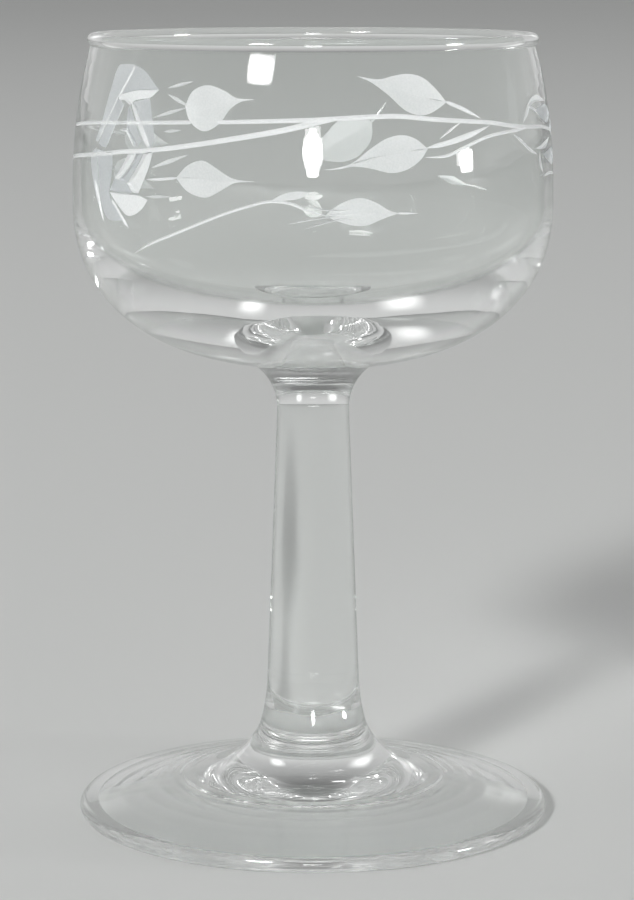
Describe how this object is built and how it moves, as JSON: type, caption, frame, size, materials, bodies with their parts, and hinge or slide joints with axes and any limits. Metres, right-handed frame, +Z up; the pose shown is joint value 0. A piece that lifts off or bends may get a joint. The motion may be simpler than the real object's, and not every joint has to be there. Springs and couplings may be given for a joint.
{
  "type": "cocktail glass",
  "caption": "Clear stemmed cocktail glass with a rounded wheel-cut bowl, a beaded rim, a solid tapering stem and a sloping round foot.",
  "frame": {"origin": "middle of the foot's resting ring, on the table", "axes": "+Z up the stem's axis towards the rim; the glass is round, so +X is free, and the picture looks along +Y"},
  "size_m": [0.0726, 0.0726, 0.12],
  "materials": {
    "clear_glass": "fire-polished clear glass with a faint green-grey cast, ground matt where the ornament is cut"
  },
  "bodies": {
    "root": {"bowl": "clear_glass", "stem": "clear_glass", "foot": "clear_glass"}
  },
  "joints": []
}
